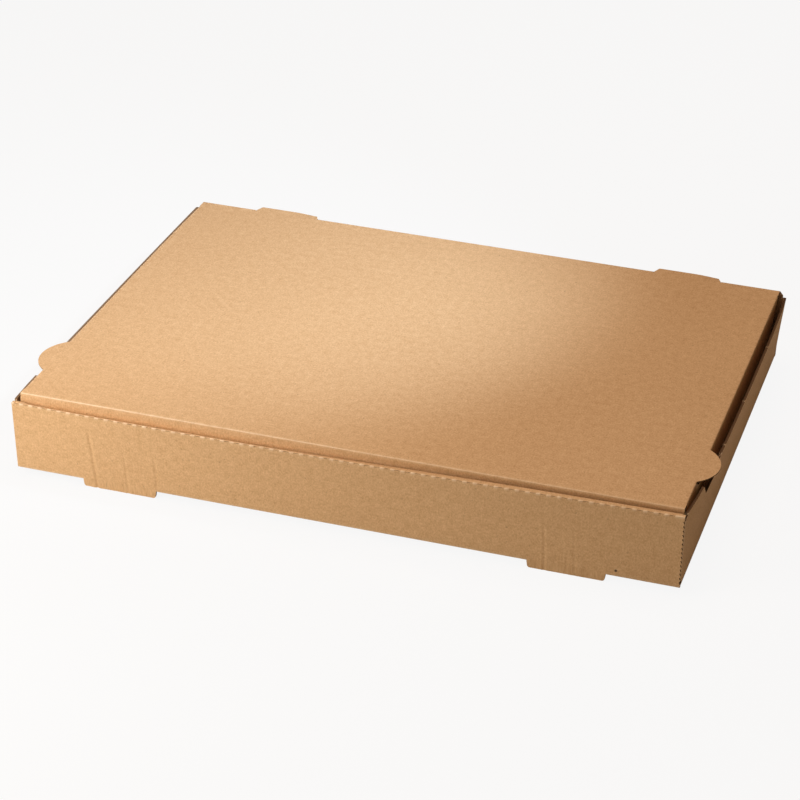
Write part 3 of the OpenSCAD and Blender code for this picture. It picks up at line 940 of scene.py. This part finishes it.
def kraft_liner(name, dark, light, flute, stain):
    """Unbleached kraft liner: brown paper with fine fibres drawn along the machine direction.

    It gives the eye a matt, slightly cloudy brown with short fibres, a few stray flecks, a faint washboard
    over the flutes, paler paper where a fold has stretched it, which also serves as a painted highlight
    along the folds, and one dark speck, at the place stain on the sheet.
    """
    finish = bpy.context.scene.box_finish
    material, tree, output = new_material(name)
    blank = add_node(tree, "ShaderNodeUVMap", {"uv_map": "blank"}).outputs["UV"]
    # Fibres about 1.5 mm long and 1.1 mm wide, coarser than real ones so that they show
    stretched = add_node(tree, "ShaderNodeVectorMath", {"operation": "MULTIPLY"}, in_0=blank,
                         in_1=(1 / (1.1 * MM), 1 / (1.5 * MM), 1)).outputs[0]
    fibre = noise(tree, stretched, 1.0, 3.0, 0.65)
    cloud = noise(tree, blank, 1 / (5 * MM), 3.0, 0.55)
    broad = noise(tree, blank, 1 / (70 * MM), 2.0)
    speck = noise(tree, stretched, 0.55, 1.0, 0.4)
    across = add_node(tree, "ShaderNodeSeparateXYZ", Vector=blank).outputs["X"]
    wave = flute_wave(tree, across, flute)

    # The tone is the sum of four patterns, each times its weight, about a middle of one half
    tone = -0.275
    for pattern, weight in ((fibre, 1.55), (cloud, 0.66), (broad, 0.12), (wave, 0.012)):
        tone = maths(tree, "MULTIPLY_ADD", pattern, weight, tone)
    paper = mix_colour(tree, maths(tree, "SUBTRACT", tone, 0.39), dark, light)
    paper = mix_colour(tree, ramp(tree, speck, 0.70, 0.78, 0.0, 0.35), paper, finish.fleck)
    off = add_node(tree, "ShaderNodeVectorMath", {"operation": "DISTANCE"}, in_0=blank, in_1=(*stain, 0))
    stained = ramp(tree, off.outputs["Value"], 0.5 * MM, 1.3 * MM, 0.9, 0.0)
    paper = mix_colour(tree, stained, paper, finish.stain)
    # Folds are painted paler: stretched paper and a painted highlight
    fold_stretch_and_highlight = add_node(tree, "ShaderNodeAttribute", {"attribute_name": "crease"}).outputs["Fac"]
    pale = maths(tree, "MULTIPLY", fold_stretch_and_highlight, ramp(tree, cloud, 0.3, 0.7, 0.6, 1.0))
    paper = mix_colour(tree, pale, paper, finish.crease)

    height = maths(tree, "MULTIPLY_ADD", wave, 0.08, fibre)
    bump = add_node(tree, "ShaderNodeBump", Height=height, Strength=0.25, Distance=0.06 * MM).outputs[0]
    rough = ramp(tree, cloud, 0.0, 1.0, 0.52, 0.72)
    shader = add_node(tree, "ShaderNodeBsdfPrincipled", Base_Color=paper, Roughness=rough, Normal=bump,
                      IOR=1.5)
    tree.links.new(shader.outputs[0], output.inputs["Surface"])
    return material


def cut_board(name, flute, thickness):
    """Cut edge of fluted board: two straight lines of paper with a wave of paper between them.

    It gives the eye a row of small arches of painted shade between pale lines of paper on cuts across the
    flutes, and a line of painted shade on cuts along them, with more paper showing on the left of the sheet
    than on the right, as painted light and shade.
    """
    finish = bpy.context.scene.box_finish
    material, tree, output = new_material(name)
    place = add_node(tree, "ShaderNodeUVMap", {"uv_map": "blank"}).outputs["UV"]
    parts = add_node(tree, "ShaderNodeSeparateXYZ", Vector=place)
    across, depth = parts.outputs["X"], parts.outputs["Y"]
    wave = flute_wave(tree, across, flute)
    centre = maths(tree, "MULTIPLY_ADD", wave, thickness / 2 - EDGE_PAPER, thickness / 2)
    flute_off = maths(tree, "ABSOLUTE", maths(tree, "SUBTRACT", depth, centre))
    face_off = maths(tree, "PINGPONG", depth, thickness / 2)
    nearest = maths(tree, "MINIMUM", flute_off, face_off)
    solid = ramp(tree, nearest, 0.6 * EDGE_PAPER, 1.2 * EDGE_PAPER, 1.0, 0.0)
    grain = noise(tree, place, 1 / (0.8 * MM), 2.0)
    fibre = mix_colour(tree, grain, finish.inside_dark, finish.crease)
    crossing = add_node(tree, "ShaderNodeAttribute", {"attribute_name": "open"}).outputs["Fac"]
    # Painted light and shade: more paper on cuts along the flutes on the left, where the light falls, less
    # on the right, in the lid's shadow
    torn = ramp(tree, across, -EDGE_LIGHT_REACH, EDGE_LIGHT_REACH, *EDGE_LIGHT_LEFT_RIGHT)
    solid = maths(tree, "MAXIMUM", maths(tree, "MULTIPLY", solid, crossing), torn)
    colour = mix_colour(tree, solid, finish.hollow, fibre)
    bump = add_node(tree, "ShaderNodeBump", Height=solid, Strength=0.4, Distance=0.2 * MM).outputs[0]
    shader = add_node(tree, "ShaderNodeBsdfPrincipled", Base_Color=colour, Roughness=0.8, Normal=bump,
                      Specular_IOR_Level=0.1)
    tree.links.new(shader.outputs[0], output.inputs["Surface"])
    return material


def board_finishes():
    """The finishes of the board, outside, inside and cut edge, made once and shared by every piece."""
    finish, board = bpy.context.scene.box_finish, bpy.context.scene.box_board
    names = ("unbleached_kraft_liner", "inner_kraft_liner", "cut_fluted_board")
    if names[0] not in bpy.data.materials:
        p = plan()
        fold = travelled(turned((0, 0), quarter(270, 180), p))[-1]
        stain = (STAIN[0], p.front + p.bend - fold - (STAIN[1] - p.base - p.bend))
        kraft_liner(names[0], finish.liner_dark, finish.liner_light, board.flute, stain)
        kraft_liner(names[1], finish.inside_dark, finish.inside_light, board.flute, stain)
        cut_board(names[2], board.flute, board.thickness)
    return [bpy.data.materials[name] for name in names]


class FoldTray(bpy.types.Operator):
    """Folds the tray: base, rolled front wall, side walls with their corner flaps, and back wall"""

    bl_idname = "pizza_box.fold_tray"
    bl_label = "Fold the tray"

    def execute(self, context):
        p = plan()
        patches = [long_strip(p), *side_wall(p, 1), *side_wall(p, -1)]
        piece = fold_sheet("tray_board", patches, p.board.thickness, board_finishes())
        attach(piece, "tray")
        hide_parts("tray")
        return {"FINISHED"}


class FoldLid(bpy.types.Operator):
    """Folds the lid: top, front flap, side flaps, half-moon tabs and back tongues"""

    bl_idname = "pizza_box.fold_lid"
    bl_label = "Fold the lid"

    def execute(self, context):
        p = plan()
        rows, flap = lid_rows(p)
        sheet_back = p.back + p.lid_top
        side = lid_side(p, rows, flap, sheet_back)
        # The side folds are painted paler on the left, a painted highlight where the light falls
        left, right = ([patch._replace(crease=patch.crease * stretch) for patch in side]
                       for stretch in SIDE_FOLD_HIGHLIGHT)
        patches = [lid_strip(p, rows, sheet_back), *right, *(mirrored(patch) for patch in left)]
        patches = [settled(patch, ease_lid, p) for patch in patches]
        piece = fold_sheet("lid_board", patches, p.board.thickness, board_finishes())
        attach(piece, "lid")
        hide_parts("lid")
        return {"FINISHED"}


class JoinFold(bpy.types.Operator):
    """Joins the back wall to the lid with the fold that the lid swings on"""

    bl_idname = "pizza_box.join_fold"
    bl_label = "Join tray and lid"

    def execute(self, context):
        p = plan()
        piece = fold_sheet("lid_fold", [back_fold(p)], p.board.thickness, board_finishes())
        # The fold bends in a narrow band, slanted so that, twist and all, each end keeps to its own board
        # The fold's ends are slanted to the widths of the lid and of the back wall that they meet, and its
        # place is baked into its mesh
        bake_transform(piece)
        return {"FINISHED"}


def aim(piece, place, target):
    """Puts a lamp at a place with its beam along the line to the target."""
    look = Vector(target) - Vector(place)
    turn = look.to_track_quat("-Z", "Y").to_matrix().to_4x4()
    piece.matrix_world = Matrix.Translation(place) @ turn


def lamp(name, kind, place, target, power, code, **settings):
    """A studio lamp of an sRGB hex colour, hidden from the camera."""
    data = bpy.data.lights.new(name, kind)
    data.energy = power
    data.color = linear(code)[:3]
    for key, value in settings.items():
        setattr(data, key, value)
    piece = new_object(name, data)
    piece.visible_camera = False
    aim(piece, place, target)


# The floor's length, the lines of its grid each way, and how much of it the camera sees as plain white
FLOOR_SIZE = 12.0
FLOOR_LINES = 9
FLOOR_WHITE = 0.9


def studio_floor(colour):
    """A plain floor as a flat grid, pale and matt, that shows nearly white and keeps the shadow."""
    material, tree, output = new_material("matt_studio_floor")
    grain = add_node(tree, "ShaderNodeTexNoise", Scale=40.0, Detail=2.0)
    rough = ramp(tree, grain.outputs["Fac"], 0.0, 1.0, 0.85, 0.95)
    matt = add_node(tree, "ShaderNodeBsdfPrincipled", Base_Color=colour, Roughness=rough)
    white = add_node(tree, "ShaderNodeEmission", Strength=1.0)
    path = add_node(tree, "ShaderNodeLightPath")
    seen = maths(tree, "MULTIPLY", path.outputs["Is Camera Ray"], FLOOR_WHITE)
    mixed = add_node(tree, "ShaderNodeMixShader", Fac=seen, in_1=matt.outputs[0], in_2=white.outputs[0])
    tree.links.new(mixed.outputs[0], output.inputs["Surface"])
    reach = np.linspace(-FLOOR_SIZE / 2, FLOOR_SIZE / 2, FLOOR_LINES)
    mesh = bpy.data.meshes.new("studio_floor")
    points = grid(reach, reach[:, None], 0).reshape(-1, 3)
    mesh.from_pydata(points.tolist(), [], quads(FLOOR_LINES, FLOOR_LINES).reshape(-1, 4).tolist())
    mesh.materials.append(material)
    new_object("studio_floor", mesh)


class SetStage(bpy.types.Operator):
    """Sets the plain floor, the studio lamps, the light from all round and the camera"""

    bl_idname = "pizza_box.set_stage"
    bl_label = "Set the stage"

    def execute(self, context):
        scene, studio = context.scene, context.scene.box_studio
        studio_floor(studio.floor)
        world = bpy.data.worlds.new("studio_world")
        world.use_nodes = True
        tree = world.node_tree
        tree.nodes.clear()
        fill = add_node(tree, "ShaderNodeBackground", Color=linear("#ffe6c0"), Strength=studio.fill)
        white = add_node(tree, "ShaderNodeBackground", Color=linear("#ffffff"), Strength=1.0)
        path = add_node(tree, "ShaderNodeLightPath")
        mixed = add_node(tree, "ShaderNodeMixShader", Fac=path.outputs["Is Camera Ray"],
                         in_1=fill.outputs[0], in_2=white.outputs[0])
        end = add_node(tree, "ShaderNodeOutputWorld")
        tree.links.new(mixed.outputs[0], end.inputs["Surface"])
        scene.world = world

        lamp("overhead_softbox", "AREA", (0, 0.1, 1.6), (0, 0, 0), 12.2, "#ffe4d7", size=1.2)
        lamp("front_softbox", "AREA", (-0.4, -0.5, 0.3), (-0.1, -0.1, 0.03), 2.6, "#fffaf6", size=0.4)
        # The spot's cone is 0.38 m wide to each side at 0.733 m, which is about its distance to the lid
        lamp("lid_spot", "SPOT", (0.3, 0, 0.6), (-0.19, 0.09, 0.06), 17.7, "#c8e1ff",
             shadow_soft_size=0.03, spot_size=2 * math.atan2(0.38, 0.733), spot_blend=1.0)

        camera_data = bpy.data.cameras.new("photo_camera")
        camera_data.lens = studio.lens
        camera_data.sensor_width = 36
        camera = new_object("photo_camera", camera_data)
        turn = (Matrix.Rotation(studio.azimuth, 4, "Z")
                @ Matrix.Rotation(math.pi / 2 - studio.elevation, 4, "X")
                @ Matrix.Rotation(studio.roll, 4, "Z"))
        camera.matrix_world = Matrix.Translation(studio.eye) @ turn
        scene.camera = camera
        scene.view_settings.view_transform = "Standard"
        return {"FINISHED"}


class BoxPanel(bpy.types.Panel):
    """Lists the steps that fold the box and the sizes and colours that they use"""

    bl_idname = "VIEW3D_PT_pizza_box"
    bl_label = "Pizza box"
    bl_space_type = "VIEW_3D"
    bl_region_type = "UI"
    bl_category = "Pizza box"

    def draw(self, context):
        for operator in OPERATORS:
            self.layout.operator(operator.bl_idname)
        for group in GROUPS:
            settings = getattr(context.scene, group)
            box = self.layout.box()
            for key in settings.bl_rna.properties.keys()[2:]:
                box.prop(settings, key)


OPERATORS = (FoldTray, FoldLid, JoinFold, SetStage)
GROUPS = {
    "box_board": BoardSizes,
    "box_tray": TraySizes,
    "box_lid": LidSizes,
    "box_slack": SlackSizes,
    "box_finish": Finish,
    "box_studio": Studio,
}


def register():
    """Registers the settings, the operators and the panel."""
    for group, settings in GROUPS.items():
        bpy.utils.register_class(settings)
        setattr(bpy.types.Scene, group, PointerProperty(type=settings))
    for item in (*OPERATORS, BoxPanel):
        bpy.utils.register_class(item)


def unregister():
    """Takes away what register added, in the opposite order."""
    for item in (BoxPanel, *reversed(OPERATORS)):
        bpy.utils.unregister_class(item)
    for group, settings in reversed(GROUPS.items()):
        delattr(bpy.types.Scene, group)
        bpy.utils.unregister_class(settings)


def main():
    register()
    bpy.ops.pizza_box.fold_tray()
    bpy.ops.pizza_box.fold_lid()
    bpy.ops.pizza_box.join_fold()
    bpy.ops.pizza_box.set_stage()


if __name__ == "__main__":
    main()
